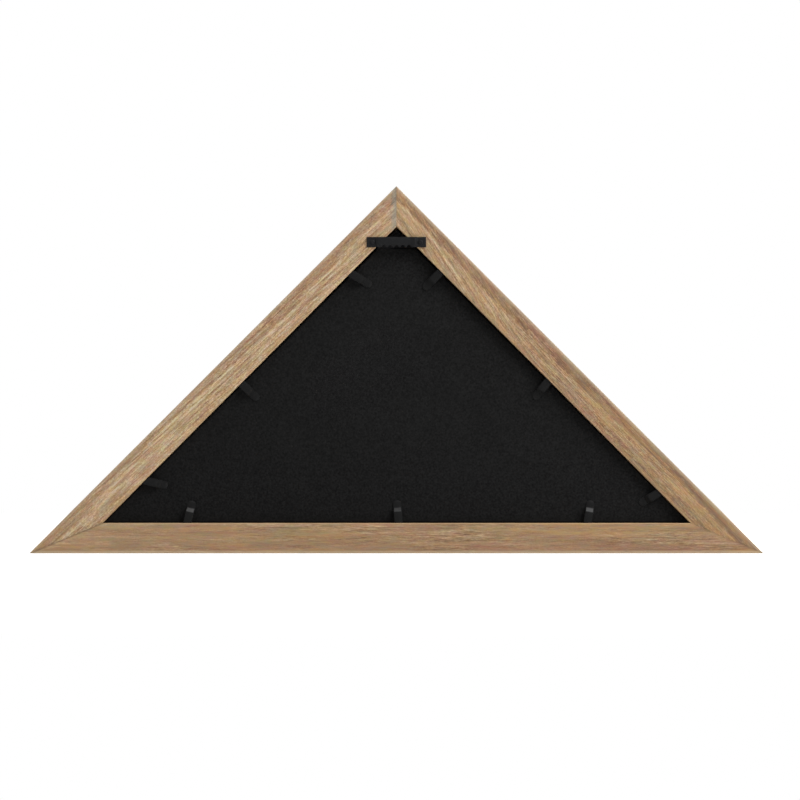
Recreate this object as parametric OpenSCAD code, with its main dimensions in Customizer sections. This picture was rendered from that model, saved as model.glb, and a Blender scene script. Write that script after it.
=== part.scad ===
// Folded flag display case: a deep three-sided shadow box that stands on its base or hangs
// on a wall. Three mitred rails carry a sheet of glass at the front, and spacer strips
// behind it. The backing board goes in from the back, and nine flex tabs bend over it.
// +Z is up and the glass faces -Y. The origin is the middle of the underside of the base.

/* [Case] */
// Width of the case along its base
case_w = 460; // [420:5:640]
// Depth of the case from front to back
case_d = 70; // [60:1:100]
// Slope of the two upper rails, in degrees: a flag folds into half a square
slope = 45; // [42:1:48]

/* [Rails] */
// Thickness of the rails' wall, a planed 3/4 inch board
wall_t = 19; // [16:0.5:24]
// Reach of the front lip past the inside of the wall
lip_w = 6; // [4:0.5:8]
// Thickness of the front lip
lip_t = 6; // [4.5:0.5:9]
// Radius of the rounded outer front edge
front_r = 2.5; // [1:0.5:4]
// Width of the bevel round the sight edge
bevel_w = 4.5; // [2:0.5:6]
// Drop of that bevel at the sight edge
bevel_drop = 2.5; // [1:0.5:3.5]
// Width of the quirk, a small groove along the top of the bevel
quirk_w = 1.2; // [0.8:0.1:2]
// Arris taken off the back edges
arris = 0.6; // [0.3:0.1:1.2]

/* [Glass and spacers] */
// Thickness of the glass
glass_t = 2; // [1.5:0.1:3]
// Gap between the edge of the glass and the wall
glass_gap = 0.5; // [0.3:0.1:1]
// Thickness of the spacer strips that line the walls
spacer_t = 6; // [4:0.5:8]

/* [Backing board] */
// Thickness of the backing board
board_t = 2.5; // [2:0.1:3.5]
// Thickness of the felt on its inner face
felt_t = 0.8; // [0.5:0.1:1.5]
// Gap between the edge of the board and the wall
board_gap = 1.6; // [1.6:0.1:2.5]
// Play between the felt and the spacers
board_play = 0.1; // [0.05:0.05:0.3]
// Depth of the recess behind the board
recess = 5.5; // [5.2:0.1:8]
// Gap between the cut-off peak of the board and the hanger
peak_gap = 1; // [0.5:0.1:2]

/* [Flex tabs] */
// Width of a tab
tab_w = 5; // [4:0.1:6]
// Thickness of a tab
tab_t = 0.5; // [0.4:0.05:0.6]
// Height of a tab's root above the board
tab_h = 4; // [3.6:0.1:4.4]
// Length of the level part next to the wall
tab_level = 7.1; // [6:0.1:8]
// Length over which a tab falls to the board
tab_fall = 2.6; // [2:0.1:3.5]
// Length of the pad that presses on the board
tab_pad = 4.6; // [4:0.1:6.5]
// Depth of the pointed shank in the wood
tab_bury = 9; // [6:0.5:12]
// Gap between the pad and the board
pad_gap = 0.1; // [0.05:0.05:0.3]
// Radius of the bend at the root
bend_r = 0.32; // [0.31:0.01:0.36]
// Distance from the wall to the middle of the bend
bend_in = 0.45; // [0.42:0.01:0.6]
// Length of shank that stands proud of the wall
shank_proud = 0.03; // [0.01:0.01:0.05]

/* [Sawtooth hanger] */
// Length of the hanger
hanger_l = 37.2; // [34:0.1:45]
// Height of the hanger
hanger_h = 6.4; // [5.5:0.1:7]
// Thickness of its steel
hanger_t = 0.9; // [0.6:0.1:1.2]
// How far its middle stands off the rails
hanger_raise = 1.4; // [1:0.1:2]
// Length of each flat end, which is nailed to a rail
flat_l = 5.7; // [5.4:0.1:6.5]
// Distance from the inner peak of the rails down to the hanger
hanger_drop = 5; // [3:0.5:7]
// Number of notches in its lower edge
notch_count = 5; // [3:2:5]
// Distance between the notches
notch_pitch = 3.9; // [3:0.1:4.1]
// Radius of a notch
notch_r = 1.2; // [0.7:0.1:1.3]
// Distance from each end of the hanger to its nail
nail_in = 3.5; // [3:0.1:3.8]

/* [Nails and brads] */
// Radius of the hanger nails
nail_r = 0.7; // [0.5:0.05:0.9]
// Length of the hanger nails
nail_l = 10; // [8:0.5:13]
// Radius of their heads
nail_head_r = 1.5; // [1.2:0.1:1.8]
// Thickness of their heads
nail_head_t = 0.7; // [0.5:0.1:1]
// Radius of the corner brads
brad_r = 0.6; // [0.4:0.05:0.8]
// Length of the corner brads
brad_l = 30; // [25:1:32]
// Radius of the brads' heads
brad_head_r = 1.1; // [0.9:0.1:1.4]
// Depth to which the brads are set and filled over
brad_set = 1.5; // [1:0.1:2]
// Distance between the two brads of a corner, front to back
brad_pitch = 32; // [20:1:40]
// Distance of the brads from the peak, along the rail
brad_peak_in = 9.5; // [7:0.5:12]
// Distance of the brads from the lower corners, along the rail
brad_low_in = 39; // [37:0.5:45]
// Clearance round a nail, brad or shank in the wood
drive_fit = 0.02; // [0.02:0.01:0.05]

/* [Hidden] */
$fn = 48;

// Sides and corners run round the case: side k goes from corner k to corner k + 1.
// Corner 0 is the left end of the base, corner 1 its right end and corner 2 the peak.
BOTTOM = 0;
RIGHT = 1;
LEFT = 2;

// Each tab's side, its place along that side's inner wall as a share, and its lean off
// square to the wall in degrees, towards the end of the side
TABS = [
    [BOTTOM, 0.175, -10], [BOTTOM, 0.496, 5], [BOTTOM, 0.856, -13],
    [RIGHT, 0.145, 31], [RIGHT, 0.474, 1], [RIGHT, 0.848, 14],
    [LEFT, 0.148, 0], [LEFT, 0.517, 6], [LEFT, 0.895, -14]
];

// The triangle of the case, seen from the front
case_h = case_w / 2 * tan(slope);
corners = [[-case_w / 2, 0], [case_w / 2, 0], [0, case_h]];
side_l = [case_w, case_w / 2 / cos(slope), case_w / 2 / cos(slope)];
side_turn = [0, 180 + slope, 180 - slope];
// Half the angle of each corner, and the point where the three mitres would meet
half_angle = [slope / 2, slope / 2, 90 - slope];
mitre_meet = [0, case_w / 2 * tan(slope / 2)];

// Depths from front to back
front = -case_d / 2;
back = case_d / 2;
glass_front = front + lip_t;
glass_back = glass_front + glass_t;
board_back = back - recess;
board_front = board_back - board_t;
felt_front = board_front - felt_t;
spacer_back = felt_front - board_play;

// Heights near the peak
inner_peak = case_h - wall_t / cos(slope);
hanger_top = inner_peak - hanger_drop;
hanger_mid = hanger_top - hanger_h / 2;
board_top = hanger_top - hanger_h - peak_gap;

// Length of a chisel point on a nail or brad, as a multiple of its radius
point_ratio = 2.5;
// Radius of the blunt end of that point, as a share of the shank
point_blunt = 0.2;
// Thickness of a brad's head as a share of its radius
brad_head_share = 0.7;
// A length that passes anything on a tab
beyond = 40;

wood = "#a98a68";
black_steel = "#262525";
black_board = "#1e1e1e";
black_liner = "#232223";
bright_steel = "#9a9a9c";

// Length taken off a side at corner c by a piece that lies d inside the outer face
function inset(c, d) = d / tan(half_angle[c]);
// Place on side k, measured from its middle, of a share of its inner wall
function along(k, share) =
    let(start = inset(k, wall_t), end = inset((k + 1) % 3, wall_t))
    start - side_l[k] / 2 + share * (side_l[k] - start - end);
// The case's triangle, with each side moved in by d
function inner_triangle(d) = [
    [inset(0, d) - case_w / 2, d],
    [case_w / 2 - inset(1, d), d],
    [0, case_h - d / cos(slope)]
];

// A flat shape in the plane of the front, from depth y0 to depth y1
module sheet(y0, y1) {
    translate([0, y1, 0])
        rotate([90, 0, 0])
            linear_extrude(y1 - y0)
                children();
}

// Puts its children on side k: x along the side, y to the back and z in from the outer face
module on_side(k) {
    middle = (corners[k] + corners[(k + 1) % 3]) / 2;
    translate([middle[0], 0, middle[1]])
        rotate([0, side_turn[k], 0])
            children();
}

// Puts its children at the root of a tab: z in from the wall and y up from the board
module at_tab(tab) {
    on_side(tab[0])
        translate([along(tab[0], tab[1]), board_back, wall_t])
            children();
}

// The part of the case that belongs to side k, between the mitres at its ends
module between_mitres(k) {
    sheet(front, back)
        polygon([corners[k], corners[(k + 1) % 3], mitre_meet]);
}

// Section of a rail: x in from the outer face and y back from the front
module rail_section() {
    bevel_top = wall_t + lip_w - bevel_w;
    difference() {
        polygon([
            [0, 0],
            [bevel_top - quirk_w, 0],
            [bevel_top - quirk_w, quirk_w / 2],
            [bevel_top, quirk_w / 2],
            [bevel_top, 0],
            [wall_t + lip_w, bevel_drop],
            [wall_t + lip_w, lip_t],
            [wall_t, lip_t],
            [wall_t, case_d - arris],
            [wall_t - arris, case_d],
            [arris, case_d],
            [0, case_d - arris]
        ]);
        difference() {
            square(front_r);
            translate([front_r, front_r])
                circle(front_r);
        }
    }
}

// A straight length of a section along side k, still with square ends
module moulding(k) {
    on_side(k)
        translate([0, front, 0])
            rotate([0, -90, 0])
                linear_extrude(side_l[k], center = true)
                    children();
}

// A rail with its slots and nail holes
module rail(k) {
    color(wood)
        difference() {
            intersection() {
                moulding(k)
                    rail_section();
                between_mitres(k);
            }
            for (tab = TABS)
                if (tab[0] == k)
                    tab_shank(tab, drive_fit);
            brads(RIGHT, brad_at_start(brad_low_in), drive_fit);
            brads(LEFT, -brad_at_start(brad_low_in), drive_fit);
            brads(LEFT, brad_at_start(brad_peak_in), drive_fit);
            hanger_nail_pair(drive_fit);
        }
}

// A spacer strip that lies along the wall of side k
module spacer(k) {
    color(black_liner)
        intersection() {
            on_side(k)
                translate([-side_l[k] / 2, glass_back, wall_t])
                    cube([side_l[k], spacer_back - glass_back, spacer_t]);
            between_mitres(k);
        }
}

// Outline of the board: the wall's triangle less a gap, its peak cut off below the hanger
module board_outline() {
    triangle = inner_triangle(wall_t + board_gap);
    half_top = (triangle[2][1] - board_top) / tan(slope);
    polygon([triangle[0], triangle[1], [half_top, board_top], [-half_top, board_top]]);
}

// Side view of a tab, x away from the wall and y up from the board: level, fall and pad
module tab_profile() {
    pad_y = pad_gap + tab_t / 2;
    fall_end = tab_level + tab_fall;
    tip = fall_end + tab_pad;
    fold = tab_t / 2 * tan(atan2(tab_h - pad_y, tab_fall) / 2);
    polygon([
        [-tab_w, tab_h + tab_t / 2],
        [tab_level + fold, tab_h + tab_t / 2],
        [fall_end + fold, pad_y + tab_t / 2],
        [tip, pad_y + tab_t / 2],
        [tip, pad_y - tab_t / 2],
        [fall_end - fold, pad_y - tab_t / 2],
        [tab_level - fold, tab_h - tab_t / 2],
        [-tab_w, tab_h - tab_t / 2]
    ]);
}

// The strip of a tab with its round tip, before it is turned to its lean
module tab_strip() {
    round_at = tab_level + tab_fall + tab_pad - tab_w / 2;
    intersection() {
        rotate([0, -90, 0])
            linear_extrude(tab_w, center = true)
                tab_profile();
        translate([0, tab_h + tab_t, 0])
            rotate([90, 0, 0])
                linear_extrude(tab_h + tab_t)
                    union() {
                        translate([-tab_w / 2, -tab_w])
                            square([tab_w, tab_w + round_at]);
                        translate([0, round_at])
                            circle(tab_w / 2);
                    }
    }
}

// The blade of a tab, from the bend at its root to its tip
module tab_blade(tab) {
    lean = tab[2];
    color(black_steel)
        at_tab(tab)
            union() {
                intersection() {
                    rotate([0, lean, 0])
                        tab_strip();
                    translate([-beyond / 2, -beyond / 2, bend_in])
                        cube(beyond);
                }
                translate([bend_in * tan(lean), tab_h, bend_in])
                    rotate([0, 90, 0])
                        cylinder(h = tab_w / cos(lean), r = bend_r, center = true);
            }
}

// The pointed shank of a tab, in the wood from the wall down
module tab_shank(tab, fit = 0) {
    w = tab_w + 2 * fit;
    t = tab_t + 2 * fit;
    tip = tab_bury + fit;
    at_tab(tab)
        intersection() {
            rotate([0, tab[2], 0])
                translate([0, tab_h + t / 2, 0])
                    rotate([90, 0, 0])
                        linear_extrude(t)
                            polygon([
                                [-w / 2, tab_w],
                                [w / 2, tab_w],
                                [w / 2, w / 2 - tip],
                                [0, -tip],
                                [-w / 2, w / 2 - tip]
                            ]);
            translate([-beyond / 2, -beyond / 2, shank_proud - beyond])
                cube(beyond);
        }
}

// A nail that points along -z, its head's underside at z = 0
module nail(r, length, head_r, head_t, fit = 0) {
    point_l = point_ratio * r;
    union() {
        translate([0, 0, point_l - length - fit])
            cylinder(h = length - point_l + head_t, r = r + fit);
        translate([0, 0, -length - fit])
            cylinder(h = point_l, r1 = point_blunt * r + fit, r2 = r + fit);
        translate([0, 0, -fit])
            cylinder(h = head_t + 2 * fit, r = head_r + fit);
    }
}

// Place of brads on a side, a given distance after the corner that the side starts from
function brad_at_start(distance) = distance - side_l[RIGHT] / 2;

// Two brads driven square into the outer face of side k
module brads(k, place, fit = 0) {
    head_t = brad_head_share * brad_head_r;
    on_side(k)
        for (y = [-brad_pitch / 2, brad_pitch / 2])
            translate([place, y, brad_set + head_t])
                rotate([180, 0, 0])
                    nail(brad_r, brad_l, brad_head_r, head_t, fit);
}

// Two nails through the flat ends of the hanger
module hanger_nail_pair(fit = 0) {
    for (x = [nail_in - hanger_l / 2, hanger_l / 2 - nail_in])
        translate([x, back + hanger_t, hanger_mid])
            rotate([-90, 0, 0])
                nail(nail_r, nail_l, nail_head_r, nail_head_t, fit);
}

// The hanger seen from above: flat ends, and a middle that stands off the rails
module hanger_profile() {
    foot = hanger_l / 2 - flat_l;
    raised = foot - hanger_raise;
    fold = hanger_t * tan(atan2(hanger_raise, foot - raised) / 2);
    polygon([
        [-hanger_l / 2, 0],
        [-foot, 0],
        [-raised, hanger_raise],
        [raised, hanger_raise],
        [foot, 0],
        [hanger_l / 2, 0],
        [hanger_l / 2, hanger_t],
        [foot + fold, hanger_t],
        [raised + fold, hanger_raise + hanger_t],
        [-raised - fold, hanger_raise + hanger_t],
        [-foot - fold, hanger_t],
        [-hanger_l / 2, hanger_t]
    ]);
}

// Half-round notches along the lower edge of the hanger
module hanger_notches() {
    first = -(notch_count - 1) / 2 * notch_pitch;
    for (i = [0 : notch_count - 1])
        translate([first + i * notch_pitch, back, hanger_mid - hanger_h / 2])
            rotate([-90, 0, 0])
                cylinder(h = hanger_raise + 2 * hanger_t, r = notch_r);
}

module rail_bottom() rail(BOTTOM);
module rail_right() rail(RIGHT);
module rail_left() rail(LEFT);

module glass_pane() {
    color("#dfe7e6", 0.3)
        sheet(glass_front, glass_back)
            polygon(inner_triangle(wall_t + glass_gap));
}

module spacer_bottom() spacer(BOTTOM);
module spacer_right() spacer(RIGHT);
module spacer_left() spacer(LEFT);

module back_board() {
    color(black_board)
        sheet(board_front, board_back)
            board_outline();
}

// The felt keeps its peak, which closes the view past the top of the board
module board_felt() {
    color(black_liner)
        sheet(felt_front, board_front)
            polygon(inner_triangle(wall_t + board_gap));
}

module sawtooth_hanger() {
    color(black_steel)
        difference() {
            translate([0, back, hanger_mid - hanger_h / 2])
                linear_extrude(hanger_h)
                    hanger_profile();
            hanger_notches();
            hanger_nail_pair(drive_fit);
        }
}

module hanger_nails() {
    color(black_steel)
        hanger_nail_pair();
}

module peak_brads() {
    color(bright_steel)
        brads(LEFT, brad_at_start(brad_peak_in));
}

module right_corner_brads() {
    color(bright_steel)
        brads(RIGHT, brad_at_start(brad_low_in));
}

module left_corner_brads() {
    color(bright_steel)
        brads(LEFT, -brad_at_start(brad_low_in));
}

module tab_shanks() {
    color(black_steel)
        for (tab = TABS)
            tab_shank(tab);
}

module tab_bottom_left() tab_blade(TABS[0]);
module tab_bottom_middle() tab_blade(TABS[1]);
module tab_bottom_right() tab_blade(TABS[2]);
module tab_right_lower() tab_blade(TABS[3]);
module tab_right_middle() tab_blade(TABS[4]);
module tab_right_upper() tab_blade(TABS[5]);
module tab_left_upper() tab_blade(TABS[6]);
module tab_left_middle() tab_blade(TABS[7]);
module tab_left_lower() tab_blade(TABS[8]);

rail_bottom();
rail_right();
rail_left();
glass_pane();
spacer_bottom();
spacer_right();
spacer_left();
back_board();
board_felt();
sawtooth_hanger();
hanger_nails();
peak_brads();
right_corner_brads();
left_corner_brads();
tab_shanks();
tab_bottom_left();
tab_bottom_middle();
tab_bottom_right();
tab_right_lower();
tab_right_middle();
tab_right_upper();
tab_left_upper();
tab_left_middle();
tab_left_lower();
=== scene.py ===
"""The looks of the folded flag display case: mitred driftwood rails, a black backing board
under nine flex tabs, and a sawtooth hanger. The glass faces -Y and the board faces +Y."""

import math

import bmesh
import bpy
from mathutils import Matrix, Vector


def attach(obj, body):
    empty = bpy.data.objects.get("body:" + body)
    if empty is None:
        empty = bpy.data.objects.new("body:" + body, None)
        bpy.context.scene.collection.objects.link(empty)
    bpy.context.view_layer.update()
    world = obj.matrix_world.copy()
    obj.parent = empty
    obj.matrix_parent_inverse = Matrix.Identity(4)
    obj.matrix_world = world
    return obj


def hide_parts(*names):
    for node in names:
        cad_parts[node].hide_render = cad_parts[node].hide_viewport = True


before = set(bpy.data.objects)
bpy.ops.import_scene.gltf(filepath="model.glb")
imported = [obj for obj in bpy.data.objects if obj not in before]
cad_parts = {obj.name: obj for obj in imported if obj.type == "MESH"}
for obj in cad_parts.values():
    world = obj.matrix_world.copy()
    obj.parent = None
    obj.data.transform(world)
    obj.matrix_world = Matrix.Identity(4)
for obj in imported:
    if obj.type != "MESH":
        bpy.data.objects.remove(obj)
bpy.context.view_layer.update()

MM = 0.001

# ---- Sizes of the case, in millimetres, as it is built ----
# The rails: wall, front lip with its bevel and quirk, broken back edges, and how much
# thinner the wall of an upper rail is at the peak
CASE_W = 460.0
CASE_D = 70.0
SLOPE = math.radians(45)
WALL_T = 19.0
LIP_W = 6.0
LIP_T = 6.0
FRONT_R = 2.5
BEVEL_W = 4.5
BEVEL_DROP = 2.5
QUIRK_W = 1.2
ARRIS = 0.6
PEAK_LOSS = 1.15

# The backing board: its back face, its thickness, its cut peak and its gap to the walls
BOARD_BACK = 29.5
BOARD_T = 2.5
BOARD_TOP = 190.73
BOARD_GAP = 0.7

# A flex tab: its strip, its height over the board, its level part, fall and pad, its shank
# in the wood, the pad's gap to the board, and the round root that it bends about
TAB_W = 5.0
TAB_T = 0.5
TAB_H = 4.0
TAB_LEVEL = 7.1
TAB_FALL = 2.6
TAB_PAD = 4.6
TAB_BURY = 9.0
PAD_GAP = 0.1
BEND_R = 0.32
BEND_IN = 0.45

# The sawtooth hanger: its strip, how far that is pressed up between the flat ends, its
# height on the case, and its notches, pressed wider and deeper than half rounds
HANGER_L = 37.2
HANGER_H = 6.4
HANGER_T = 0.9
HANGER_RAISE = 1.4
FLAT_L = 5.7
HANGER_MID = 194.93
NOTCH_COUNT = 5
NOTCH_PITCH = 3.9
NOTCH_R = 1.2
NOTCH_WIDE = 1.15
NOTCH_DEEP = 1.2

# The hanger's nails, and the brads of the corner joints
NAIL_IN = 3.5
NAIL_R = 0.7
NAIL_L = 10.0
NAIL_HEAD_R = 1.5
NAIL_HEAD_T = 0.7
BRAD_PITCH = 32.0
BRAD_HEAD_R = 1.1
BRAD_PEAK_IN = 9.5
BRAD_LOW_IN = 39.0

# The back plane, the peak, the corners, each side's length and turn, each half angle
BACK = CASE_D / 2
CASE_H = CASE_W / 2 * math.tan(SLOPE)
BOTTOM, RIGHT, LEFT = 0, 1, 2
CORNERS = [(-CASE_W / 2, 0.0), (CASE_W / 2, 0.0), (0.0, CASE_H)]
SIDE_L = [CASE_W, CASE_W / 2 / math.cos(SLOPE), CASE_W / 2 / math.cos(SLOPE)]
SIDE_TURN = [0.0, math.pi + SLOPE, math.pi - SLOPE]
HALF_ANGLE = [SLOPE / 2, SLOPE / 2, math.pi / 2 - SLOPE]

# Each tab: its node, its side, its place along the wall as a share, its lean in degrees,
# and how bright the painted highlight is where the strip falls to the board
TABS = [
    ("tab_bottom_left", BOTTOM, 0.175, -10, 1.0),
    ("tab_bottom_middle", BOTTOM, 0.496, 5, 0.55),
    ("tab_bottom_right", BOTTOM, 0.856, -13, 0.85),
    ("tab_right_lower", RIGHT, 0.145, 31, 0.06),
    ("tab_right_middle", RIGHT, 0.474, 1, 0.06),
    ("tab_right_upper", RIGHT, 0.848, 14, 0.06),
    ("tab_left_upper", LEFT, 0.148, 0, 0.06),
    ("tab_left_middle", LEFT, 0.517, 6, 0.04),
    ("tab_left_lower", LEFT, 0.895, -14, 0.04),
]


def side_place(side):
    """Where a side's own frame lies: x along the side, y to the back, z in from outside."""
    start, end = CORNERS[side], CORNERS[(side + 1) % 3]
    middle = Vector(((start[0] + end[0]) / 2, 0, (start[1] + end[1]) / 2))
    return Matrix.Translation(middle) @ Matrix.Rotation(SIDE_TURN[side], 4, "Y")


def inset_at(corner, depth):
    """Length taken off a side at a corner by what lies a depth inside the outer face."""
    return depth / math.tan(HALF_ANGLE[corner])


def along(side, share):
    """Place on a side, from its middle, of a share of its inner wall."""
    start = inset_at(side, WALL_T)
    end = inset_at((side + 1) % 3, WALL_T)
    return start - SIDE_L[side] / 2 + share * (SIDE_L[side] - start - end)


def wall_loss(side, x):
    """How much thinner a rail's wall is at x along it: the upper rails thin to the peak."""
    foot, peak = along(side, 0.0), along(side, 1.0)
    if side == LEFT:
        foot, peak = peak, foot
    return (x - foot) * (PEAK_LOSS / (peak - foot))


def tab_place(side, share):
    """Frame at the root of a tab: z in from the wall and y up from the board."""
    root = Matrix.Translation((along(side, share), BOARD_BACK, WALL_T))
    return side_place(side) @ root


# ---- Bench tools ----
# How close two lengths and two directions count as the same, the slack of a cut, points
# that merge in a finished mesh, what counts as a sharp corner, and the steps of a bend
SAME = 1e-4
SAME_WAY = 0.9999
CUT_SLACK = 1e-5
MERGE_WITHIN = 1e-7
SHARP_CORNER = math.radians(50)
BEND_STEPS = 5


def clear_bench():
    """Back to object mode with nothing chosen."""
    if bpy.context.object and bpy.context.object.mode != "OBJECT":
        bpy.ops.object.mode_set(mode="OBJECT")
    bpy.ops.object.select_all(action="DESELECT")


def take(piece):
    """Chooses one piece alone."""
    clear_bench()
    piece.select_set(True)
    bpy.context.view_layer.objects.active = piece


def named(name):
    """Names the primitive that was just added, with its size and place put in its mesh."""
    piece = bpy.context.object
    piece.name = name
    piece.data.name = name
    bpy.ops.object.transform_apply(location=True, rotation=True, scale=True)
    return piece


def block(name, low, high):
    """A rectangular blank between two corners."""
    clear_bench()
    low, high = Vector(low), Vector(high)
    bpy.ops.mesh.primitive_cube_add(size=1, location=(low + high) / 2, scale=high - low)
    return named(name)


def upright_sheet(name, centre, width, height):
    """A flat sheet that faces along the depth, x wide and z high."""
    clear_bench()
    turn = (math.pi / 2, 0, 0)
    bpy.ops.mesh.primitive_plane_add(size=1, location=centre, rotation=turn)
    sheet = named(name)
    open_mesh(sheet)
    bpy.ops.mesh.select_all(action="SELECT")
    stretch((width, 1, height), centre)
    clear_bench()
    return sheet


def open_mesh(piece):
    """Into edit mode on one piece."""
    take(piece)
    bpy.ops.object.mode_set(mode="EDIT")


def pick(piece, kind, test):
    """Selects the faces, edges or vertices that pass a test."""
    bpy.ops.mesh.select_mode(type=kind)
    bpy.ops.mesh.select_all(action="DESELECT")
    mesh = bmesh.from_edit_mesh(piece.data)
    parts = {"VERT": mesh.verts, "EDGE": mesh.edges, "FACE": mesh.faces}[kind]
    for part in [part for part in parts if test(part)]:
        part.select_set(True)
    mesh.select_flush_mode()
    bmesh.update_edit_mesh(piece.data)


def near(a, b):
    """True if two lengths in millimetres are the same."""
    return abs(a - b) < SAME


def line_at(**place):
    """Test for an edge that lies along a line, given by two of its coordinates."""
    axes = [("xyz".index(axis), value) for axis, value in place.items()]

    def test(edge):
        return all(near(v.co[i], value) for v in edge.verts for i, value in axes)

    return test


def middle_of(face):
    """The middle point of a face."""
    return face.calc_center_median()


def cut(point, normal, trim=False):
    """Cuts all of the open piece at a plane. A trim drops what is past it and shuts the end."""
    bpy.ops.mesh.select_all(action="SELECT")
    bpy.ops.mesh.bisect(
        plane_co=point, plane_no=normal, use_fill=trim, clear_outer=trim, threshold=CUT_SLACK
    )


def draw_out(move):
    """Extrudes what is selected along a move."""
    bpy.ops.mesh.extrude_region_move(TRANSFORM_OT_translate={"value": move})


def stretch(shares, centre):
    """Makes what is selected larger or smaller by a share each way about a centre."""
    bpy.ops.transform.resize(value=shares, center_override=centre)


def ease(width, segments):
    """Rounds the selected edges."""
    bpy.ops.mesh.bevel(offset=width, segments=segments, profile=0.5, affect="EDGES")


def work_with(piece, tool_kind, **settings):
    """Adds one modifier to a piece, sets it and applies it."""
    take(piece)
    tool = piece.modifiers.new("tool", tool_kind)
    for name, setting in settings.items():
        setattr(tool, name, setting)
    bpy.ops.object.modifier_apply(modifier=tool.name)


def subtract(piece, cutter):
    """Cuts one piece's shape out of another and throws the cutter away."""
    work_with(piece, "BOOLEAN", operation="DIFFERENCE", solver="EXACT", object=cutter)
    bpy.data.objects.remove(cutter)


def copied(piece, name):
    """A copy of a piece with a mesh of its own."""
    other = bpy.data.objects.new(name, piece.data.copy())
    other.data.name = name
    bpy.context.scene.collection.objects.link(other)
    return other


def join(pieces, name):
    """Joins pieces into the first one."""
    clear_bench()
    for piece in pieces:
        piece.select_set(True)
    bpy.context.view_layer.objects.active = pieces[0]
    bpy.ops.object.join()
    pieces[0].name = name
    return pieces[0]


def thicken(piece, thickness):
    """Gives a sheet its thickness, half to each side."""
    work_with(piece, "SOLIDIFY", thickness=thickness, offset=0, use_even_offset=True)


def ease_corners(piece, width):
    """Eases every sharp edge of a piece."""
    limit = {"limit_method": "ANGLE", "angle_limit": SHARP_CORNER}
    work_with(piece, "BEVEL", width=width, segments=2, **limit)


def finish_mesh(piece, place, smooth_deg=35):
    """Puts a piece made in millimetres in its place, in metres, facing outwards."""
    piece.data.transform(Matrix.Scale(MM, 4) @ place)
    open_mesh(piece)
    bpy.ops.mesh.select_all(action="SELECT")
    bpy.ops.mesh.remove_doubles(threshold=MERGE_WITHIN)
    bpy.ops.mesh.normals_make_consistent(inside=False)
    bpy.ops.object.mode_set(mode="OBJECT")
    take(piece)
    bpy.ops.object.shade_smooth_by_angle(angle=math.radians(smooth_deg))
    return piece


def rounded_path(points, radius):
    """A path of (reach, height) through corners, each corner turned on a radius."""
    points = [Vector(point) for point in points]
    path = [points[0]]
    for before, corner, after in zip(points, points[1:], points[2:]):
        a = (before - corner).normalized()
        b = (after - corner).normalized()
        tangent = radius * math.tan((math.pi - a.angle(b)) / 2)
        start, end = corner + a * tangent, corner + b * tangent
        for i in range(BEND_STEPS + 1):
            t = i / BEND_STEPS
            path.append(start * (1 - t) ** 2 + corner * 2 * t * (1 - t) + end * t * t)
    path.append(points[-1])
    return path


# ---- Rails ----
# The spare length at each end that the mitres cut off, the sight edge and the bevel's top,
# small easings, and the slots for the shanks with their room, mouth and narrowed point
END_SPARE = 6.0
SIGHT = WALL_T + LIP_W
BEVEL_TOP = SIGHT - BEVEL_W
SEAM_EASE = 0.08
SIGHT_EASE = 0.3
QUIRK_EASE = 0.14
SLOT_ROOM_W = 0.12
SLOT_ROOM_T = 0.1
SLOT_MOUTH = 2.0
SLOT_POINT = 0.3


def cut_lip(rail):
    """Draws the front lip out of the wall."""
    cut((0, LIP_T, 0), (0, 1, 0))
    pick(rail, "FACE", lambda f: near(middle_of(f).z, WALL_T) and middle_of(f).y < LIP_T)
    draw_out((0, 0, LIP_W))


def cut_front_moulding(rail):
    """The quirk, and the bevel that falls from it to the sight edge."""
    for z in (BEVEL_TOP - QUIRK_W, BEVEL_TOP):
        cut((0, 0, z), (0, 0, 1))
    quirk_mid = BEVEL_TOP - QUIRK_W / 2
    pick(rail, "FACE", lambda f: near(middle_of(f).y, 0) and near(middle_of(f).z, quirk_mid))
    draw_out((0, QUIRK_W / 2, 0))
    pick(rail, "VERT", lambda v: near(v.co.z, SIGHT) and near(v.co.y, 0))
    bpy.ops.transform.translate(value=(0, BEVEL_DROP, 0))


def ease_long_edges(rail):
    """The rounded outer front edge, the back arrises, the sight edge and the quirk's edges."""
    edges = (
        (0, 0, FRONT_R, 6),
        (CASE_D, 0, ARRIS, 3),
        (CASE_D, WALL_T, ARRIS, 3),
        (BEVEL_DROP, SIGHT, SIGHT_EASE, 3),
        (LIP_T, SIGHT, SIGHT_EASE, 3),
        (0, BEVEL_TOP - QUIRK_W, QUIRK_EASE, 2),
        (0, BEVEL_TOP, QUIRK_EASE, 2),
    )
    for y, z, width, segments in edges:
        pick(rail, "EDGE", line_at(y=y, z=z))
        ease(width, segments)


def taper_wall(rail, side):
    """Thins the wall of an upper rail little by little towards the peak."""
    for way in (-1, 1):
        end = way * (SIDE_L[side] / 2 + END_SPARE)

        def on_inner_wall(v):
            behind_lip = v.co.y > LIP_T - SAME
            return near(v.co.x, end) and behind_lip and abs(WALL_T - v.co.z) < ARRIS + SAME

        pick(rail, "VERT", on_inner_wall)
        bpy.ops.transform.translate(value=(0, 0, -wall_loss(side, end)))


def cut_mitres(rail, side):
    """The two mitres, with their edges just broken so that the joint shows as a hairline."""
    half = SIDE_L[side] / 2
    ends = ((-1, HALF_ANGLE[side]), (1, HALF_ANGLE[(side + 1) % 3]))
    normals = []
    for way, angle in ends:
        normal = Vector((way * math.sin(angle), 0, math.cos(angle)))
        cut((way * half, 0, 0), normal, trim=True)
        normals.append(normal)
    for normal in normals:
        pick(rail, "FACE", lambda f, n=normal: f.normal.dot(n) > SAME_WAY)
        bpy.ops.mesh.region_to_loop()
        ease(SEAM_EASE, 1)


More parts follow.
